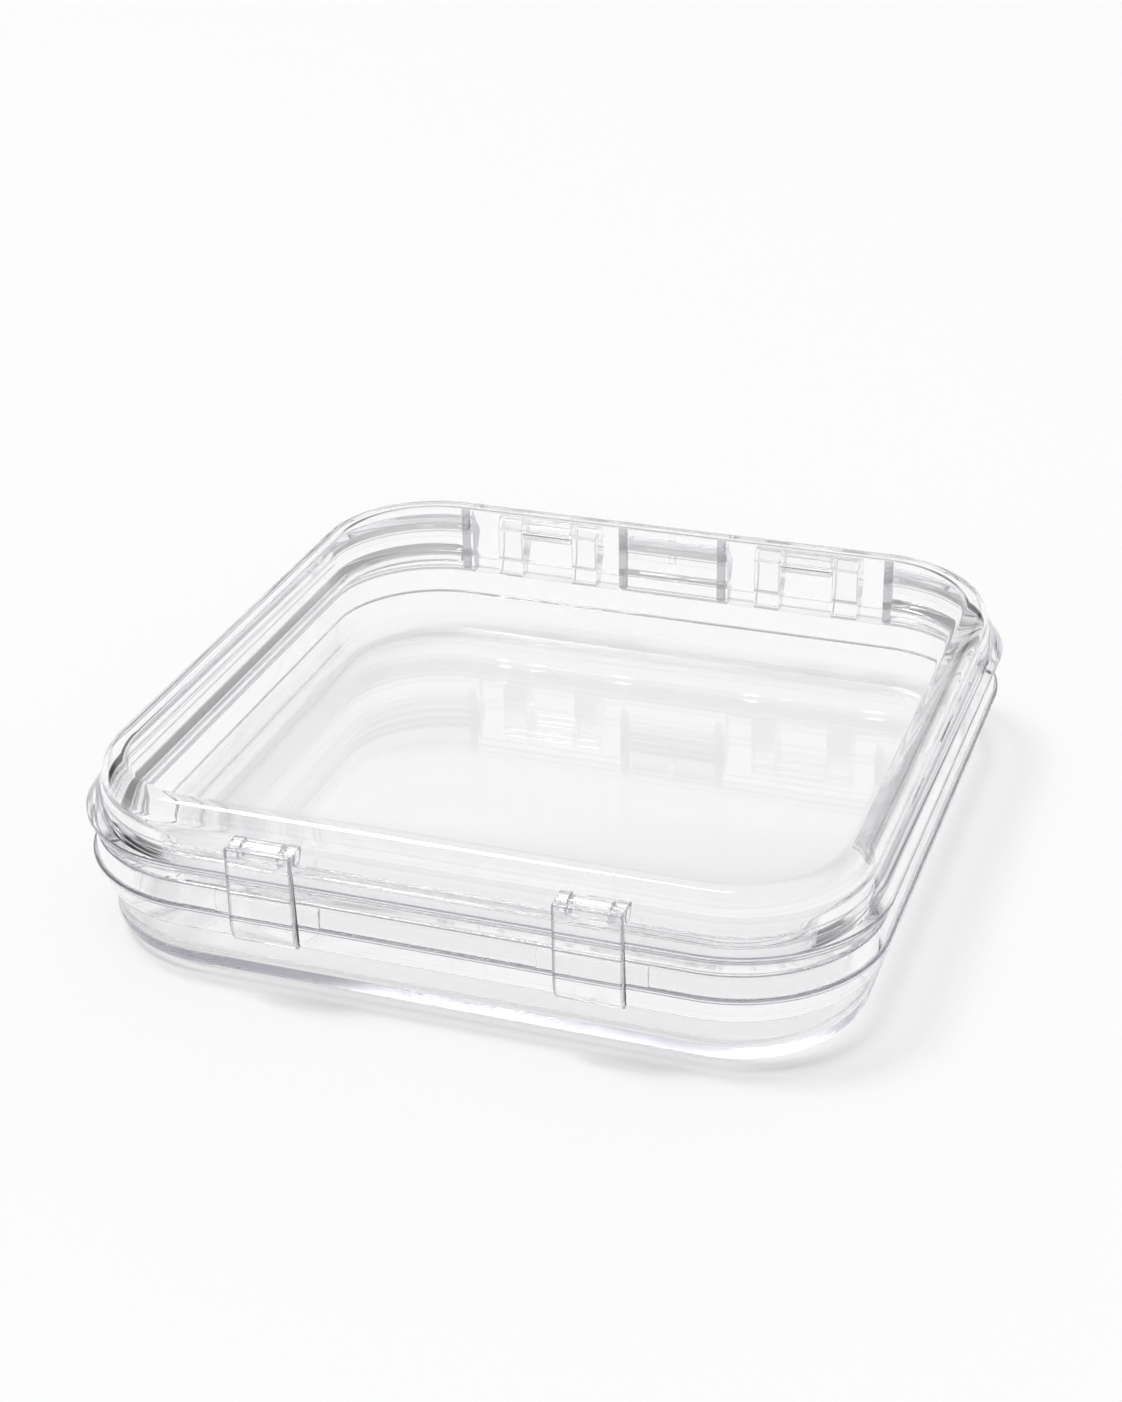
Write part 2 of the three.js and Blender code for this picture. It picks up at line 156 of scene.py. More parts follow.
class BoxSizes(bpy.types.PropertyGroup):
    """Sizes of the mouldings."""

    corner_radius: length("Corner Radius", "Radius of the flange's corners in plan", 22.2 * MM)
    wall: length("Wall", "Thickness of the tray's and the lid's walls", 1.6 * MM)
    tub_inset: length("Tub Inset", "How far the tub's wall stands in from the flange's edge", 3.1 * MM)
    tub_edge: length("Tub Edge", "Radius of the tub's bottom edge and floor fillet", 3 * MM)
    step_height: length("Step Height", "Height of the step under the tray's bead", 8 * MM)
    step_inset: length("Step Inset", "Inset of the step's edge", 2 * MM)
    bead_height: length("Bead Height", "Height of the tray's bead", 12.2 * MM)
    bead_inset: length("Bead Inset", "Inset of the tray's bead", 0.35 * MM)
    bead_out: length("Bead Out", "How far the bead stands out of the wall", 0.5 * MM)
    bead_half: length("Bead Half", "Half the bead's height", 0.45 * MM)
    rim_height: length("Rim Height", "Height of the tray's rim", 15.85 * MM)
    rim_inset: length("Rim Inset", "Inset of the rim and of the lid's skirt", 1.2 * MM)
    parting: length("Parting", "Gap between the tray's rim and the lid", 0.3 * MM)
    flange_height: length("Flange Height", "Height of the lid's widest edge", 18.9 * MM)
    flange_edge: length("Flange Edge", "Height of the flange's upright edge", 0.5 * MM)
    flange_round: length("Flange Round", "Radius of the flange's corners", 0.5 * MM)
    ledge_height: length("Ledge Height", "Height where the lid's inner wall meets its ledge", 19.8 * MM)
    flare_height: length("Flare Height", "Height where the flare meets the cap's wall", 23.3 * MM)
    flare_round: length("Flare Round", "Radius between the flare and the cap's wall", 2.8 * MM)
    cap_inset: length("Cap Inset", "Inset of the cap's wall", 2.7 * MM)
    cap_lean: length("Cap Lean", "How far the cap's wall leans in up to its top", 0.15 * MM)
    cap_edge: length("Cap Edge", "Radius of the cap's top edge", 3 * MM)
    cap_inner_edge: length("Cap Inner Edge", "Radius of the same edge inside", 2.6 * MM)
    lip_gap: length("Lip Gap", "Gap between the lid's lip and the tray's wall", 0.3 * MM)
    lip_wall: length("Lip Wall", "Thickness of the lid's lip", 1 * MM)
    knuckle_radius: length("Knuckle Radius", "Radius of the hinge ears and knuckles", 2.3 * MM)
    pocket_width: length("Pocket Width", "Width of a hinge pocket", 27.4 * MM)
    pocket_depth: length("Pocket Depth", "How far a hinge pocket goes into the cap's wall", 0.7 * MM)
    ear_spacing: length("Ear Spacing", "Distance between the two ears of a hinge", 13.6 * MM)
    ear_width: length("Ear Width", "Width of a hinge ear", 4.4 * MM)
    rib_radius: length("Rib Radius", "Radius of the upright ribs at the hinge pockets' ends", 0.78 * MM)
    rib_low: length("Rib Low", "Height of the ribs' lower tips", 13.2 * MM)
    plate: length("Latch Plate", "Thickness of a latch's plate", 1 * MM)
    curl_height: length("Curl Height", "Height over which a latch's foot curls in", 3.6 * MM)
    curl_depth: length("Curl Depth", "How far a latch's foot curls in", 0.7 * MM)
    curl_tip: length("Curl Tip", "Thickness of the tip of a latch's foot", 0.5 * MM)
    latch_head: length("Latch Head", "How far a latch's plate reaches up over its pin", 1.3 * MM)
    barrel_radius: length("Barrel Radius", "Radius of a latch's barrel", 1.5 * MM)
    neck_height: length("Neck Height", "Height of the neck between a latch's barrel and plate", 2.2 * MM)
    cheek_radius: length("Cheek Radius", "Radius of the cheeks that hold a latch's pin", 1.24 * MM)
    seat_gap: length("Seat Gap", "Gap between a latch and the lid", 0.3 * MM)
    cheek_width: length("Cheek Width", "Width of the cheek on each side of a latch's barrel", 1.8 * MM)
    keeper_side: length("Keeper Side", "How far the pads reach out beside the latches", 2.9 * MM)
    keeper_inset: length("Keeper Inset", "Inset of the pads behind the latches", 0.6 * MM)
    edge: length("Edge", "Radius of small moulded edges", 0.35 * MM)
    soft_edge: length("Soft Edge", "Radius of the edges of the latches' plates", 0.36 * MM)
    # Painted shade: edges up to this radius get grey painted on them, for the dark lines that refraction
    # gives there
    shaded_edge_radius: length("Edge Radius", "Greatest radius of an edge that shows as a grey line", 0.8 * MM)
    break_edge: length("Broken Edge", "Width of the broken edge along cuts", 0.14 * MM)


class AcrylicLook(bpy.types.PropertyGroup):
    """Look of the clear acrylic."""

    tint: colour("Tint", "Colour of the clear acrylic", (0.997, 0.9975, 0.998))
    # Painted shade: the grey painted on small round edges, standing in for the dark lines that refraction
    # gives there
    painted_edge_shade: colour("Edge Tint", "Colour of the small round edges", (0.25, 0.245, 0.275))
    depth_tint: colour("Depth Tint", "Colour along a long way through it", (0.74, 0.73, 0.79))
    depth_density: number("Depth Density", "How soon the depth tint shows", 9.0)
    ior: number("IOR", "Refractive index of acrylic", 1.49)
    polish: number("Polish", "Roughness of the polished faces", 0.012)
    satin: number("Satin", "Roughness of the streaks on the tub's wall", 0.22)
    waviness: number("Waviness", "Strength of the moulded waves", 0.04)
    streak_relief: number("Streak Relief", "Strength of the streaks' relief", 0.05)
    shadow_tint: colour("Shadow Tint", "What is left of light straight through a face", (0.995, 0.995, 0.996))
    glancing_tint: colour("Glancing Tint", "What is left of it at a glancing angle", (0.03, 0.03, 0.035))
    glancing_power: number("Glancing Power", "How late the glancing tint sets in", 5.0)


class StudioLook(bpy.types.PropertyGroup):
    """Look of the studio."""

    floor: colour("Floor", "Colour of the floor", (0.96, 0.96, 0.96))
    horizon: number("Horizon", "Brightness of the dark band over the horizon", 0.05)
    pale_band: number("Pale Band", "Brightness of the pale band over it", 0.98)
    dim_band: number("Dim Band", "Brightness of the dim band over that", 0.22)
    ceiling: number("Ceiling", "Brightness overhead", 0.42)
    side_card: number("Side Cards", "Brightness of the dark cards at the sides", 0.04)
    right_card: number("Right Card", "Strength of the card on the right", 0.5)
    strip: number("Strip", "Power of the strip lamp", 16.0, "POWER")
    key: number("Key", "Strength of the soft lamp without falloff", 1.56)


def sizes():
    """The sizes as they are set in the scene."""
    return bpy.context.scene.storage_box_sizes


# Meshes


def make_piece(name, points, faces):
    """A mesh object at the origin from an array of points and a list of faces."""
    mesh = bpy.data.meshes.new(name)
    mesh.from_pydata(points.tolist(), [], faces)
    mesh.update()
    piece = bpy.data.objects.new(name, mesh)
    bpy.context.scene.collection.objects.link(piece)
    return piece


def capped_rings(name, points):
    """A solid from a grid of points: rows that go round, in order from its first end to its last.
    Both ends are capped."""
    rows, columns = points.shape[:2]
    row, column = np.meshgrid(np.arange(rows - 1), np.arange(columns), indexing="ij")
    low = row * columns
    after = (column + 1) % columns
    quads = np.stack([low + column, low + after, low + columns + after, low + columns + column], axis=-1)
    ends = [list(range(columns))[::-1], list(range((rows - 1) * columns, rows * columns))]
    return make_piece(name, points.reshape(-1, 3), quads.reshape(-1, 4).tolist() + ends)


def eased(corners, steps=FILLET_STEPS):
    """A line through (a, b, radius) corners. Each inner corner is an arc that touches both of its sides:
    its ends lie radius / tan(half the corner's angle) along the sides, and it is swept between them about
    the point where the sides' normals at those ends meet."""
    spots = [np.array([corners[0][:2]], float)]
    share = np.linspace(0, 1, steps + 1)[:, None]
    for before, here, after in zip(corners, corners[1:], corners[2:]):
        corner, radius = np.array(here[:2], float), here[2]
        to_before = np.array(before[:2], float) - corner
        to_after = np.array(after[:2], float) - corner
        to_before /= np.linalg.norm(to_before)
        to_after /= np.linalg.norm(to_after)
        half = math.acos(np.clip(to_before @ to_after, -1, 1)) / 2
        reach = radius / math.tan(half)
        bisector = (to_before + to_after) / np.linalg.norm(to_before + to_after)
        centre = corner + bisector * radius / math.sin(half)
        first = corner + to_before * reach - centre
        last = corner + to_after * reach - centre
        sweep = math.pi - 2 * half
        arc = (np.sin((1 - share) * sweep) * first + np.sin(share * sweep) * last) / math.sin(sweep)
        spots.append(centre + arc)
    spots.append(np.array([corners[-1][:2]], float))
    return np.vstack(spots)


def arc_line(centre, radius, start, end, steps=ROUND_STEPS):
    """Points on a circle of the radius about a (y, z) centre, from one angle to another."""
    turn = np.linspace(start, end, steps)[:, None]
    return np.array(centre) + radius * np.hstack([np.cos(turn), np.sin(turn)])


def bend_line(start, control, end, steps=FILLET_STEPS):
    """A curve of the second degree from start to end, pulled towards a control point."""
    share = np.linspace(0, 1, steps + 1)[:, None]
    start, control, end = (np.array(spot, float) for spot in (start, control, end))
    return (1 - share) ** 2 * start + 2 * share * (1 - share) * control + share ** 2 * end


def loft(name, profile):
    """A solid whose skin is profile(v) carried round a rounded square. A profile point (inset, z) gives the
    square's outline moved in by inset: a corner's points lie on a circle of the corner radius less the inset,
    about the corner's fixed centre. The profile's first and last rows are capped flat."""
    radius = sizes().corner_radius
    turn = np.linspace(0, math.pi / 2, CORNER_STEPS + 1)
    angle = (turn[None, :] + np.arange(4)[:, None] * math.pi / 2).ravel()
    quadrant = np.repeat(np.arange(4) * math.pi / 2 + math.pi / 4, CORNER_STEPS + 1)
    centre = HALF - radius
    inset, height = profile[:, :1], profile[:, 1:]
    x = np.sign(np.cos(quadrant)) * centre + (radius - inset) * np.cos(angle)
    y = np.sign(np.sin(quadrant)) * centre + (radius - inset) * np.sin(angle)
    return capped_rings(name, np.stack([x, y, np.broadcast_to(height, x.shape)], axis=-1))


def prism(name, outline, low, high, edge=0.0):
    """A solid that carries an anticlockwise (y, z) outline along X. With an edge radius, the outline near
    each end is drawn in along its mitred normals: by edge * (1 - sin t) where it is edge * (1 - cos t) from
    the end."""
    turn = np.linspace(0, math.pi / 2, EDGE_STEPS + 1 if edge else 1)
    inset = edge * (1 - np.sin(turn))
    step = edge * (1 - np.cos(turn))
    x = np.concatenate([low + step, (high - step)[::-1]])
    inset = np.concatenate([inset, inset[::-1]])
    after = np.roll(outline, -1, axis=0) - outline
    after /= np.linalg.norm(after, axis=1, keepdims=True)
    normal_after = np.stack([-after[:, 1], after[:, 0]], axis=-1)
    normal_before = np.roll(normal_after, 1, axis=0)
    spread = 1 + np.sum(normal_before * normal_after, axis=1, keepdims=True)
    mitre = (normal_before + normal_after) / spread
    drawn = outline[None] + inset[:, None, None] * mitre[None]
    along = np.broadcast_to(x[:, None, None], (x.size, len(outline), 1))
    return capped_rings(name, np.concatenate([along, drawn], axis=-1))


def block(name, low, high):
    """A box between two corners."""
    outline = np.array([(low[1], low[2]), (high[1], low[2]), (high[1], high[2]), (low[1], high[2])])
    return prism(name, outline, low[0], high[0])


def rod(name, radius, low, high, y, z, edge=0.0):
    """A round rod along X: a circle about (y, z) carried from low to high."""
    circle = arc_line((y, z), radius, 0, 2 * math.pi, ROUND_STEPS + 1)[:-1]
    return prism(name, circle, low, high, edge)


def keep_result(piece):
    """Turns a piece's modifiers into its mesh."""
    result = bpy.data.meshes.new_from_object(piece.evaluated_get(bpy.context.evaluated_depsgraph_get()))
    old = piece.data
    piece.modifiers.clear()
    piece.data = result
    result.name = piece.name
    bpy.data.meshes.remove(old)


def combine(piece, operation, others):
    """Joins solids to a piece or cuts them out of it, and removes them."""
    for other in others:
        modifier = piece.modifiers.new("combine", "BOOLEAN")
        modifier.operation = operation
        modifier.solver = "EXACT"
        modifier.object = other
        keep_result(piece)
        mesh = other.data
        bpy.data.objects.remove(other)
        bpy.data.meshes.remove(mesh)


def weld(piece):
    """Merges the ends of the tiny edges that cuts leave on a piece."""
    modifier = piece.modifiers.new("weld", "WELD")
    modifier.merge_threshold = TINY_EDGE
    keep_result(piece)


def shade(piece):
    """Smooth shading, with the edges of cuts kept sharp and flat faces kept flat."""
    piece.data.shade_smooth()
    piece.data.set_sharp_from_angle(angle=SHARP_TURN)
    weighted = piece.modifiers.new("flat faces", "WEIGHTED_NORMAL")
    weighted.keep_sharp = True
    keep_result(piece)


def paint_edge_shade(piece, strength, inside_top):
    """Writes how much grey shade is painted on each face for lying on a small round edge, in place of the
    dark lines that refraction gives there. The mean smooth turn away to the neighbouring faces, divided by
    the face's width, is one over the radius of the edge. The width is twice the area over the length of the
    outline. A radius of up to shaded_edge_radius gives the strength, and one of 1.4 times that gives 0. A
    face that looks into the box is marked only where it is upright or lies under inside_top."""
    mesh = piece.data
    faces, loops, edges, count = len(mesh.polygons), len(mesh.loops), len(mesh.edges), len(mesh.vertices)
    area, middle, normal = np.empty(faces), np.empty(3 * faces), np.empty(3 * faces)
    place = np.empty(3 * count)
    corners, edge_of, ends = np.empty(faces, int), np.empty(loops, int), np.empty(2 * edges, int)
    mesh.polygons.foreach_get("area", area)
    mesh.polygons.foreach_get("center", middle)
    mesh.polygons.foreach_get("normal", normal)
    mesh.polygons.foreach_get("loop_total", corners)
    mesh.loops.foreach_get("edge_index", edge_of)
    mesh.edges.foreach_get("vertices", ends)
    mesh.vertices.foreach_get("co", place)
    middle, normal, place = (array.reshape(-1, 3) for array in (middle, normal, place))
    face_of = np.repeat(np.arange(faces), corners)
    pair = face_of[np.argsort(edge_of, kind="stable")].reshape(-1, 2)
    first, second = pair.T
    turn = np.arccos(np.clip(np.sum(normal[first] * normal[second], axis=1), -1, 1))
    hollow = np.sum((middle[second] - middle[first]) * normal[first], axis=1) > 0
    turn[hollow | (turn > SMOOTH_TURN)] = 0
    start, end = place[ends.reshape(-1, 2)].transpose(1, 0, 2)
    long = np.linalg.norm(end - start, axis=1)
    outline = np.maximum(np.bincount(face_of, long[edge_of], faces), TINY_EDGE)
    width = 2 * area / outline
    bent = np.bincount(face_of, (long * turn)[edge_of], faces) / outline
    closeness = sizes().shaded_edge_radius * bent / np.maximum(width, SLIVER)
    share = strength * np.clip((closeness - FAINTEST_EDGE) / (1 - FAINTEST_EDGE), 0, 1)
    share[width < SLIVER] = 0
    outward = np.sum(middle[:, :2] * normal[:, :2], axis=1) > 0
    share[~(outward | (abs(normal[:, 2]) < UPRIGHT) | (middle[:, 2] < inside_top))] = 0
    # Painted shade: the edge attribute holds the share of grey shade painted on each face
    mesh.attributes.new("edge", "FLOAT", "FACE").data.foreach_set("value", share)


def stand_for(piece, body, material, nodes):
    """Gives a finished piece its material, its body and the CAD nodes that it stands for."""
    piece.data.materials.clear()
    piece.data.materials.append(material)
    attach(piece, body)
    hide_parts(*nodes)


# Tray


def tray_profile(s):
    """Up the outside of the tray, over its bead and its rim and down the inside to the floor."""
    inner = s.tub_inset + s.wall
    bead_root = s.bead_inset + s.bead_out
    return eased([
        (s.tub_inset + 2 * s.tub_edge, 0, 0),
        (s.tub_inset, 0, s.tub_edge),
        (s.tub_inset, s.step_height, s.edge / 2),
        (s.step_inset, s.step_height, s.edge / 2),
        (bead_root, s.bead_height - s.bead_half, s.edge / 3),
        (s.bead_inset, s.bead_height - s.bead_half, s.edge),
        (s.bead_inset, s.bead_height + s.bead_half, s.edge),
        (bead_root, s.bead_height + s.bead_half, s.edge / 3),
        (s.rim_inset, s.rim_height, s.edge / 2),
        (inner, s.rim_height, s.edge),
        (inner, s.wall, s.tub_edge),
        (inner + 2 * s.tub_edge, s.wall, 0),
    ])


def tray_ear(s, x):
    """A hinge ear: an upright outline with a round top about the hinge's axis, carried along X."""
    wall = HALF - s.tub_inset
    shelf = s.bead_height + JOIN / 2
    foot = HALF - s.step_inset + EAR_FOOT
    outline = np.vstack([
        [(wall - JOIN, shelf - JOIN), (foot - JOIN, shelf - JOIN), (foot, shelf)],
        [(HINGE_Y + s.knuckle_radius, HINGE_Z - EAR_SLOPE)],
        arc_line((HINGE_Y, HINGE_Z), s.knuckle_radius, 0, math.pi, ROUND_STEPS // 2),
        [(HINGE_Y - s.knuckle_radius, s.rim_height), (wall - JOIN, s.rim_height - JOIN)],
    ])
    return prism("ear", outline, x - s.ear_width / 2, x + s.ear_width / 2, s.break_edge)


def tray_keeper(s, x):
    """A flat pad between the bead and the rim, behind a latch."""
    reach = LATCH_REACH + s.keeper_side
    face = -(HALF - s.keeper_inset)
    back = -(HALF - s.rim_inset - 2 * JOIN)
    low, high = s.bead_height, s.rim_height - KEEPER_DROP
    outline = np.array([(back, low), (back, high), (face + s.edge, high), (face, high - s.edge), (face, low)])
    return prism("keeper", outline[::-1], x - reach, x + reach, s.break_edge)


def tray_pocket(s, x):
    """The room in the tray's rim for a hinge."""
    low = (x - s.pocket_width / 2, HALF - s.tub_inset, s.bead_height + JOIN / 2)
    high = (x + s.pocket_width / 2, HALF + CUT_REACH, s.rim_height + JOIN)
    return block("pocket", low, high)


def hinge_bore(s, x):
    """The hole for a hinge's pin, through its ears and knuckle."""
    radius = (HINGE_PIN_HIGH.z - HINGE_PIN_LOW.z) / 2 + BORE_GAP
    reach = (s.ear_spacing + s.ear_width) / 2 + JOIN
    return rod("bore", radius, x - reach, x + reach, HINGE_Y, HINGE_Z)


def mark_tub_wall(piece, s):
    """Writes how satin each vertex is: 1 on the tub's outer wall under the step, fading out to 0 above it.
    A vertex is outside where its normal points away from the upright axis or down."""
    mesh = piece.data
    count = len(mesh.vertices)
    place, normal = np.empty(3 * count), np.empty(3 * count)
    mesh.vertices.foreach_get("co", place)
    mesh.vertex_normals.foreach_get("vector", normal)
    place, normal = place.reshape(-1, 3), normal.reshape(-1, 3)
    flat = place[:, :2] / np.maximum(np.linalg.norm(place[:, :2], axis=1, keepdims=True), TINY_EDGE)
    outward = np.sum(flat * normal[:, :2], axis=1)
    low = np.clip((s.step_height - place[:, 2]) / SATIN_FADE, 0, 1)
    satin = low * np.clip(outward / SATIN_LEAN, 0, 1)
    mesh.attributes.new("satin", "FLOAT", "POINT").data.foreach_set("value", satin)


class STORAGEBOX_OT_tray(bpy.types.Operator):
    """Makes the clear tray with its bead, keeper pads and hinge ears"""

    bl_idname = "storagebox.tray"
    bl_label = "Tray"

    def execute(self, context):
        s = sizes()
        tray = loft("tray", tray_profile(s))
        combine(tray, "UNION", [tray_keeper(s, side * LATCH_X) for side in SIDES])
        combine(tray, "DIFFERENCE", [tray_pocket(s, side * HINGE_X) for side in SIDES])
        ears = [tray_ear(s, side * HINGE_X + end * s.ear_spacing / 2) for side in SIDES for end in SIDES]
        combine(tray, "UNION", ears)
        combine(tray, "DIFFERENCE", [hinge_bore(s, side * HINGE_X) for side in SIDES])
        shade(tray)
        paint_edge_shade(tray, 1, 0)
        mark_tub_wall(tray, s)
        stand_for(tray, "tray_body", acrylic("tray_acrylic"), ["base_tray"])
        return {"FINISHED"}


# Lid


def lid_profile(s):
    """From the ceiling down the inside of the lid, round its lip, and up the outside to the top."""
    inner = s.cap_inset + s.wall
    ring = s.tub_inset + s.wall
    lip = ring + s.lip_gap
    under = s.rim_height + s.parting
    low = LID_LOW.z
    ceiling = TOP - s.wall
    return eased([
        (inner + 2 * s.cap_edge, ceiling, 0),
        (inner, ceiling, s.cap_inner_edge),
        (inner, s.ledge_height, s.edge),
        (ring, s.ledge_height - (ring - inner), s.edge),
        (ring, under + LIP_SLOPE_HIGH, s.edge),
        (lip + s.lip_wall, under + LIP_SLOPE_LOW, s.edge),
        (lip + s.lip_wall, low, s.edge / 2),
        (lip, low, s.edge / 2),
        (lip, under, s.edge / 4),
        (s.rim_inset, under, s.edge / 2),
        (0, s.flange_height, s.flange_round),
        (0, s.flange_height + s.flange_edge, s.flange_round),
        (s.cap_inset, s.flare_height, s.flare_round),
        (s.cap_inset + s.cap_lean, TOP, s.cap_edge),
        (s.cap_inset + 2 * s.cap_edge, TOP, 0),
    ])


def lip_break(s):
    """What is cut from the lip between the hinge pockets."""
    reach = HINGE_X + s.pocket_width / 2 + s.wall
    low = (-reach, 0, LID_LOW.z - JOIN)
    high = (reach, HALF - s.tub_inset - s.wall, s.ledge_height - LIP_BREAK_DROP)
    return block("lip break", low, high)


def pocket_wall_y(s):
    """Where the wall behind the hinge pockets has its outer face."""
    return HALF - s.cap_inset - s.pocket_depth


def pocket_walls(s, x):
    """The block of wall round a hinge pocket, inside the cap."""
    reach = s.pocket_width / 2 + s.wall
    low = (x - reach, pocket_wall_y(s) - s.wall, s.rim_height + s.parting)
    high = (x + reach, HALF - s.cap_inset - s.wall / 2, TOP - s.wall / 2)
    return block("pocket walls", low, high)


def lid_pocket(s, x):
    """The room in the cap's wall for a hinge."""
    reach = s.pocket_width / 2
    low = (x - reach, pocket_wall_y(s), s.rim_height)
    high = (x + reach, HALF + CUT_REACH, TOP - s.cap_edge)
    return block("pocket", low, high)


def knuckle(s, x):
    """The lid's knuckle: a round outline about the hinge's axis with a web to the pocket's wall."""
    reach = (s.ear_spacing - s.ear_width) / 2 - KNUCKLE_GAP
    start = math.asin(KNUCKLE_WEB / s.knuckle_radius)
    root = pocket_wall_y(s) - JOIN
    outline = np.vstack([
        arc_line((HINGE_Y, HINGE_Z), s.knuckle_radius, start - math.pi, math.pi - start),
        [(root, HINGE_Z + KNUCKLE_WEB), (root, HINGE_Z - KNUCKLE_WEB)],
    ])
    return prism("knuckle", outline, x - reach, x + reach, s.break_edge)


def round_rib(s, x):
    """An upright half-round rib inside the end of a hinge pocket: a half circle of radius r * sin(t) at the
    height r * (1 - cos(t)) over its tip, up to a quarter turn, and of radius r from there to the cap's
    top."""
    radius = s.rib_radius
    turn = np.linspace(RIB_TIP_TURN, math.pi / 2, EDGE_STEPS + 1)
    height = np.append(s.rib_low + radius * (1 - np.cos(turn)), TOP - s.wall / 2)
    reach = np.append(radius * np.sin(turn), radius)
    around = np.linspace(math.pi, 2 * math.pi, ROUND_STEPS // 2)
    back = pocket_wall_y(s) - s.wall + RIB_ROOT
    points = np.stack(
        [
            x + reach[:, None] * np.cos(around),
            back + reach[:, None] * np.sin(around),
            np.broadcast_to(height[:, None], (height.size, around.size)),
        ],
        axis=-1,
    )
    return capped_rings("round rib", points)


def back_rib(s):
    """The thin upright rib in the middle of the back wall."""
    face = HALF - s.cap_inset - s.wall
    low = (-BACK_RIB_WIDTH / 2, face - BACK_RIB_DEPTH, s.ledge_height - JOIN)
    high = (BACK_RIB_WIDTH / 2, face + JOIN, TOP - s.cap_edge)
    return block("rib", low, high)


def cheek(s, x):
    """A cheek that holds a latch's pin: a half circle about the pin, with a flat root in the cap's wall."""
    root = -(HALF - s.cap_inset - JOIN)
    outline = np.vstack([
        arc_line((LATCH_Y, LATCH_Z), s.cheek_radius, math.pi / 2, 1.5 * math.pi, ROUND_STEPS // 2),
        [(root, LATCH_Z - s.cheek_radius), (root, LATCH_Z + s.cheek_radius)],
    ])
    return prism("cheek", outline, x - s.cheek_width / 2, x + s.cheek_width / 2, s.break_edge)


def barrel_seat(s, x):
    """The hollow in the flare that a latch's barrel turns in."""
    reach = LATCH_REACH - s.cheek_width
    return rod("seat", s.barrel_radius + s.seat_gap, x - reach, x + reach, LATCH_Y, LATCH_Z)


def latch_bore(s, x):
    """The hole for a latch's pin, through the cheeks and the barrel."""
    radius = (LATCH_PIN_HIGH.z - LATCH_PIN_LOW.z) / 2 + BORE_GAP
    reach = LATCH_PIN_HIGH.x - LATCH_X + PIN_END_GAP
    return rod("bore", radius, x - reach, x + reach, LATCH_Y, LATCH_Z)


class STORAGEBOX_OT_lid(bpy.types.Operator):
    """Makes the clear lid with its lip, ribs, latch cheeks and hinge knuckles"""

    bl_idname = "storagebox.lid"
    bl_label = "Lid"

    def execute(self, context):
        s = sizes()
        hinges = [side * HINGE_X for side in SIDES]
        latches = [side * LATCH_X for side in SIDES]
        rib_x = s.pocket_width / 2 + s.wall / 2
        cheek_x = LATCH_REACH - s.cheek_width / 2
        lid = loft("lid_cap", lid_profile(s))
        combine(lid, "DIFFERENCE", [lip_break(s)])
        combine(lid, "UNION", [back_rib(s)] + [pocket_walls(s, x) for x in hinges])
        combine(lid, "UNION", [round_rib(s, x + end * rib_x) for x in hinges for end in SIDES])
        combine(lid, "UNION", [cheek(s, x + end * cheek_x) for x in latches for end in SIDES])
        combine(lid, "DIFFERENCE", [lid_pocket(s, x) for x in hinges])
        combine(lid, "DIFFERENCE", [barrel_seat(s, x) for x in latches])
        combine(lid, "UNION", [knuckle(s, x) for x in hinges])
        combine(lid, "DIFFERENCE", [hinge_bore(s, x) for x in hinges])
        combine(lid, "DIFFERENCE", [latch_bore(s, x) for x in latches])
        weld(lid)
        shade(lid)
        paint_edge_shade(lid, 1, LID_LOW.z + s.edge)
        stand_for(lid, "lid_body", acrylic("lid_acrylic"), ["lid"])
        return {"FINISHED"}


# Latches


def latch_barrel(s, x):
    """A latch's barrel about its pin."""
    reach = LATCH_REACH - s.cheek_width - s.seat_gap
    return rod("barrel", s.barrel_radius, x - reach, x + reach, LATCH_Y, LATCH_Z, s.break_edge)


def latch_neck(s, x):
    """The neck that joins a latch's barrel to its plate."""
    reach = LATCH_REACH - s.cheek_width - s.seat_gap - s.break_edge
    low = (x - reach, LATCH_LOW.y + s.plate / 2, LATCH_Z - s.neck_height / 2)
    high = (x + reach, LATCH_Y, LATCH_Z + s.neck_height / 2)
    return block("neck", low, high)


def latch_plate(name, s, x):
    """A latch's plate seen from its end: a rounded top edge, a straight stretch and a foot that curls in."""
    outer = LATCH_LOW.y
    inner = outer + s.plate
    soft = s.soft_edge
    top = LATCH_Z + s.latch_head - soft
    bottom = LATCH_LOW.z
    tip = inner + s.curl_depth
    round_tip = s.curl_tip / 2
    bend = bottom + s.curl_height
    outline = np.vstack([
        arc_line((inner - soft, top), soft, 0, math.pi / 2, EDGE_STEPS),
        arc_line((outer + soft, top), soft, math.pi / 2, math.pi, EDGE_STEPS),
        bend_line((outer, bend), (outer, bottom + s.plate), (tip - 2 * round_tip, bottom)),
        arc_line((tip - round_tip, bottom + round_tip), round_tip, -math.pi / 2, math.pi / 4, FILLET_STEPS),
        bend_line(
            (inner + round_tip, bottom + 3 * round_tip),
            (inner, bottom + s.curl_height / 2),
            (inner, bend),
        ),
    ])
    return prism(name, outline, x - LATCH_REACH, x + LATCH_REACH, soft)


def mark_latch_ends(piece, s, x):
    """Writes how satin each vertex is: 1 on the plate's two upright ends, 0 elsewhere."""
    mesh = piece.data
    place = np.empty(3 * len(mesh.vertices))
    mesh.vertices.foreach_get("co", place)
    satin = abs(place[0::3] - x) > LATCH_REACH - s.soft_edge / 2
    mesh.attributes.new("satin", "FLOAT", "POINT").data.foreach_set("value", satin.astype(float))


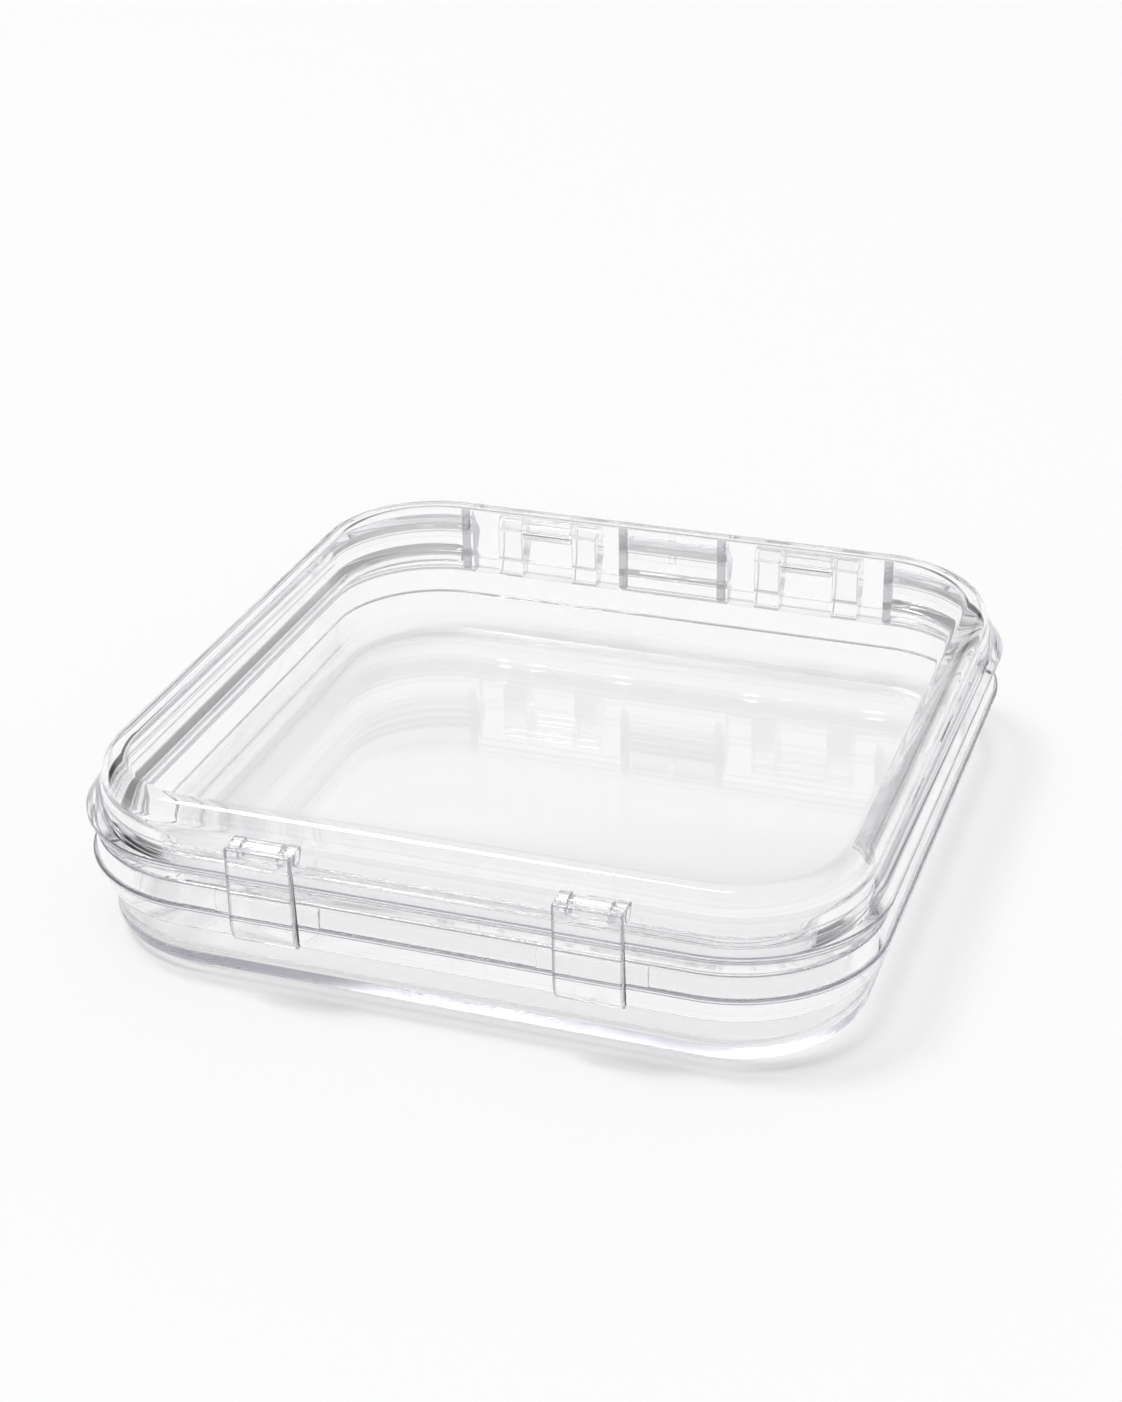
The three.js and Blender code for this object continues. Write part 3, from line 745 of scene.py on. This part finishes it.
class STORAGEBOX_OT_latches(bpy.types.Operator):
    """Makes the two clear latches"""

    bl_idname = "storagebox.latches"
    bl_label = "Latches"

    def execute(self, context):
        s = sizes()
        material = acrylic("latch_acrylic")
        for side, name in zip(SIDES, SIDE_NAMES):
            x = side * LATCH_X
            latch = latch_plate(f"latch_plate_{name}", s, x)
            combine(latch, "UNION", [latch_barrel(s, x), latch_neck(s, x)])
            combine(latch, "DIFFERENCE", [latch_bore(s, x)])
            shade(latch)
            paint_edge_shade(latch, LATCH_EDGE_SHADE, TOP)
            mark_latch_ends(latch, s, x)
            stand_for(latch, f"latch_{name}_body", material, [f"latch_{name}"])
        return {"FINISHED"}


# Pins


class STORAGEBOX_OT_pins(bpy.types.Operator):
    """Makes the clear pins of the hinges and the latches"""

    bl_idname = "storagebox.pins"
    bl_label = "Pins"

    def execute(self, context):
        edge = sizes().soft_edge / 2
        material = acrylic("pin_acrylic")
        for kind, body in (("hinge", "tray_body"), ("latch", "lid_body")):
            for name in SIDE_NAMES:
                node = f"{kind}_pin_{name}"
                low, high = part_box(node)
                middle = (low + high) / 2
                radius = high.z - middle.z
                pin = rod(f"{kind}_rod_{name}", radius, low.x, high.x, middle.y, middle.z, edge)
                shade(pin)
                stand_for(pin, body, material, [node])
        return {"FINISHED"}


# Materials


def add_node(tree, kind, inputs=None, **settings):
    """A shader node of one kind with its settings. Each of its inputs is a value or another node's output."""
    node = tree.nodes.new("ShaderNode" + kind)
    for name, value in settings.items():
        setattr(node, name, value)
    for name, value in (inputs or {}).items():
        if isinstance(value, bpy.types.NodeSocket):
            tree.links.new(value, node.inputs[name])
        else:
            node.inputs[name].default_value = value
    return node


def calculate(tree, operation, *terms):
    """The result of one operation on values or outputs."""
    return add_node(tree, "Math", dict(enumerate(terms)), operation=operation).outputs[0]


def mix_colours(tree, first, second, share):
    """A colour between two others: the first at a share of 0, the second at 1."""
    mix = add_node(tree, "Mix", {"A": first, "B": second, "Factor": share}, data_type="RGBA")
    return mix.outputs["Result"]


def moulded_finish(tree, look):
    """The roughness and the normal of a moulded face: polished with faint waves, and with flat satin streaks
    where the satin attribute says so. The streaks' noise is about one half on the whole, so the satin counts
    twice."""
    place = add_node(tree, "TexCoord").outputs["Object"]
    waves = add_node(tree, "TexNoise", {"Vector": place, "Scale": WAVE_SCALE, "Detail": 1})
    stretched = add_node(tree, "Mapping", {"Vector": place, "Scale": STREAK_SCALE})
    streaks = add_node(tree, "TexNoise", {"Vector": stretched.outputs["Vector"], "Scale": 1, "Detail": 3})
    satin = add_node(tree, "Attribute", attribute_name="satin")
    streaked = calculate(tree, "MULTIPLY", streaks.outputs["Fac"], satin.outputs["Fac"])
    roughness = calculate(tree, "MULTIPLY_ADD", streaked, 2 * look.satin, look.polish)
    waved = add_node(tree, "Bump", {
        "Height": waves.outputs["Fac"],
        "Strength": look.waviness,
        "Distance": WAVE_DEPTH,
    })
    bumped = add_node(tree, "Bump", {
        "Height": streaked,
        "Strength": look.streak_relief,
        "Distance": STREAK_DEPTH,
        "Normal": waved.outputs["Normal"],
    })
    return roughness, bumped.outputs["Normal"]


def pale_shadow(tree, look):
    """A see-through face that dims light most at a glancing angle."""
    facing = add_node(tree, "LayerWeight", {"Blend": 0.5}).outputs["Facing"]
    glancing = calculate(tree, "POWER", facing, look.glancing_power)
    dimmed = mix_colours(tree, (*look.shadow_tint, 1), (*look.glancing_tint, 1), glancing)
    return add_node(tree, "BsdfTransparent", {"Color": dimmed}).outputs[0]


def acrylic(name):
    """Clear acrylic: a refracting face with a moulded finish, with grey shade painted on small round edges
    where the edge attribute says so, in place of the dark lines that refraction gives there, round a body
    that tints long ways through it. Lamps and diffuse light pass straight through it, so that it casts a pale
    shadow with darker edges."""
    look = bpy.context.scene.storage_box_acrylic
    material = bpy.data.materials.new(name)
    material.use_nodes = True
    tree = material.node_tree
    tree.nodes.clear()
    roughness, normal = moulded_finish(tree, look)
    # Painted shade: the small round edges are tinted grey for the dark lines that refraction and internal
    # reflection give there
    edge = add_node(tree, "Attribute", attribute_name="edge")
    tint = mix_colours(tree, (*look.tint, 1), (*look.painted_edge_shade, 1), edge.outputs["Fac"])
    surface = add_node(tree, "BsdfPrincipled", {
        "Base Color": tint,
        "Roughness": roughness,
        "Normal": normal,
        "IOR": look.ior,
        "Transmission Weight": 1,
    })
    path = add_node(tree, "LightPath")
    passing = calculate(tree, "MAXIMUM", path.outputs["Is Shadow Ray"], path.outputs["Is Diffuse Ray"])
    mix = add_node(tree, "MixShader", {
        "Fac": passing,
        1: surface.outputs[0],
        2: pale_shadow(tree, look),
    })
    depth = add_node(tree, "VolumeAbsorption", {
        "Color": (*look.depth_tint, 1),
        "Density": look.depth_density,
    })
    add_node(tree, "OutputMaterial", {"Surface": mix.outputs[0], "Volume": depth.outputs[0]})
    return material


# Stage


def floor_material(look):
    """The floor's even, dull white."""
    material = bpy.data.materials.new("studio_floor")
    material.use_nodes = True
    surface = material.node_tree.nodes["Principled BSDF"]
    surface.inputs["Base Color"].default_value = (*look.floor, 1)
    surface.inputs["Roughness"].default_value = FLOOR_ROUGHNESS
    surface.inputs["Specular IOR Level"].default_value = FLOOR_SHEEN
    return material


def studio_floor(look):
    """A wide square floor just under the box."""
    square = FLOOR_REACH * np.array([(-1, -1), (1, -1), (1, 1), (-1, 1)])
    points = np.column_stack([square, np.full(len(square), -FLOOR_DROP)])
    floor = make_piece("floor", points, [[0, 1, 2, 3]])
    floor.data.materials.append(floor_material(look))


def grey_bands(tree, source, bands):
    """Even grey bands along a source, each a (start, end, value), with a blend from one to the next."""
    ramp = add_node(tree, "ValToRGB", {"Fac": source})
    stops = [(spot, value) for start, end, value in bands for spot in (start, end)]
    elements = ramp.color_ramp.elements
    while len(elements) < len(stops):
        elements.new(0.5)
    for element, (spot, value) in zip(elements, stops):
        element.position = spot
        element.color = (value, value, value, 1)
    return ramp.outputs["Color"]


def studio_world(look):
    """Brightness by direction. By its height: a pale foot, a dark band, a pale band, a dim band and a
    ceiling. Over the foot, a dark card stands far to the left and a fainter one far to the right."""
    world = bpy.data.worlds.new("studio")
    bpy.context.scene.world = world
    world.use_nodes = True
    tree = world.node_tree
    direction = add_node(tree, "TexCoord").outputs["Generated"]
    split = add_node(tree, "SeparateXYZ", {0: direction})
    height = split.outputs["Z"]
    brightness = grey_bands(tree, height, (
        (0.00, FOOT_END, look.pale_band),
        (BAND_START, 0.20, look.horizon),
        (0.26, 0.50, look.pale_band),
        (0.56, 0.68, look.dim_band),
        (0.76, 1.00, look.ceiling),
    ))
    sideways = add_node(tree, "MapRange", {"Value": split.outputs["X"], "From Min": -1})
    cards = grey_bands(tree, sideways.outputs["Result"], (
        (0.00, 0.09, 1),
        (0.15, 0.85, 0),
        (0.91, 1.00, look.right_card),
    ))
    over_foot = add_node(tree, "MapRange", {"Value": height, "From Min": FOOT_END, "From Max": BAND_START})
    shown = calculate(tree, "MULTIPLY", cards, over_foot.outputs["Result"])
    card_grey = (look.side_card, look.side_card, look.side_card, 1)
    background = tree.nodes["Background"]
    tree.links.new(mix_colours(tree, brightness, card_grey, shown), background.inputs["Color"])
    background.inputs["Strength"].default_value = 1


def studio_camera():
    """The photograph's viewpoint, worked out from the box's outlines in it."""
    back = Vector((
        math.sin(CAMERA_AZIMUTH) * math.cos(CAMERA_ELEVATION),
        -math.cos(CAMERA_AZIMUTH) * math.cos(CAMERA_ELEVATION),
        math.sin(CAMERA_ELEVATION),
    ))
    right = Vector((math.cos(CAMERA_AZIMUTH), math.sin(CAMERA_AZIMUTH), 0))
    up = back.cross(right)
    lift = Vector((0, 0, CAMERA_LIFT))
    place = back * CAMERA_DISTANCE + right * CAMERA_ACROSS + up * CAMERA_UP + lift
    turned_right = right * math.cos(CAMERA_ROLL) + up * math.sin(CAMERA_ROLL)
    turned_up = up * math.cos(CAMERA_ROLL) - right * math.sin(CAMERA_ROLL)
    data = bpy.data.cameras.new("camera")
    data.lens = data.sensor_width * FOCAL_PIXELS / LONG_SIDE_PIXELS
    data.clip_start = CAMERA_NEAREST
    camera = bpy.data.objects.new("camera", data)
    axes = Matrix((turned_right, turned_up, back)).transposed().to_4x4()
    camera.matrix_world = Matrix.Translation(place) @ axes
    bpy.context.scene.collection.objects.link(camera)
    bpy.context.scene.camera = camera


def strip_lamp(power):
    """A strip lamp along X that looks at the box's middle."""
    data = bpy.data.lights.new("strip", "AREA")
    data.shape = "RECTANGLE"
    data.size = STRIP_LONG
    data.size_y = STRIP_WIDE
    data.energy = power
    back = Vector(STRIP_PLACE).normalized()
    along = (Vector((1, 0, 0)) - back * back.x).normalized()
    axes = Matrix((along, back.cross(along), back)).transposed().to_4x4()
    lamp = bpy.data.objects.new("strip", data)
    lamp.matrix_world = Matrix.Translation(STRIP_PLACE) @ axes
    bpy.context.scene.collection.objects.link(lamp)


def key_lamp(strength):
    """A soft lamp without falloff that shines from one direction."""
    data = bpy.data.lights.new("key", "SUN")
    data.angle = KEY_SPREAD
    data.energy = strength
    lamp = bpy.data.objects.new("key", data)
    lamp.matrix_world = Vector(KEY_TOWARD).to_track_quat("Z", "Y").to_matrix().to_4x4()
    bpy.context.scene.collection.objects.link(lamp)


def let_light_through():
    """Lets light go on through all the walls of the box, and along them."""
    paths = bpy.context.scene.cycles
    paths.max_bounces = MOST_BOUNCES
    paths.transmission_bounces = MOST_BOUNCES
    paths.glossy_bounces = MOST_BOUNCES
    paths.transparent_max_bounces = MOST_SEE_THROUGH


class STORAGEBOX_OT_stage(bpy.types.Operator):
    """Makes the floor, the studio's light and the camera"""

    bl_idname = "storagebox.stage"
    bl_label = "Stage"

    def execute(self, context):
        look = context.scene.storage_box_studio
        studio_floor(look)
        studio_world(look)
        strip_lamp(look.strip)
        key_lamp(look.key)
        studio_camera()
        let_light_through()
        context.scene.view_settings.view_transform = "Standard"
        return {"FINISHED"}


class STORAGEBOX_PT_panel(bpy.types.Panel):
    """Lists the sizes, the looks and the steps"""

    bl_idname = "STORAGEBOX_PT_panel"
    bl_label = "Storage Box"
    bl_space_type = "VIEW_3D"
    bl_region_type = "UI"
    bl_category = "Storage Box"

    def draw(self, context):
        for operator in OPERATORS:
            self.layout.operator(operator.bl_idname)
        for group in (sizes(), context.scene.storage_box_acrylic, context.scene.storage_box_studio):
            for name in group.__annotations__:
                self.layout.prop(group, name)


GROUPS = {
    "storage_box_sizes": BoxSizes,
    "storage_box_acrylic": AcrylicLook,
    "storage_box_studio": StudioLook,
}
OPERATORS = (
    STORAGEBOX_OT_tray,
    STORAGEBOX_OT_lid,
    STORAGEBOX_OT_latches,
    STORAGEBOX_OT_pins,
    STORAGEBOX_OT_stage,
)
CLASSES = (*GROUPS.values(), *OPERATORS, STORAGEBOX_PT_panel)


def register():
    """Registers the classes, and gives scenes their settings."""
    for cls in CLASSES:
        bpy.utils.register_class(cls)
    for name, group in GROUPS.items():
        setattr(bpy.types.Scene, name, PointerProperty(type=group))


def unregister():
    """Takes back what register does."""
    for name in GROUPS:
        delattr(bpy.types.Scene, name)
    for cls in reversed(CLASSES):
        bpy.utils.unregister_class(cls)


def main():
    """Builds the box and its stage."""
    register()
    bpy.ops.storagebox.tray()
    bpy.ops.storagebox.lid()
    bpy.ops.storagebox.latches()
    bpy.ops.storagebox.pins()
    bpy.ops.storagebox.stage()


if __name__ == "__main__":
    main()
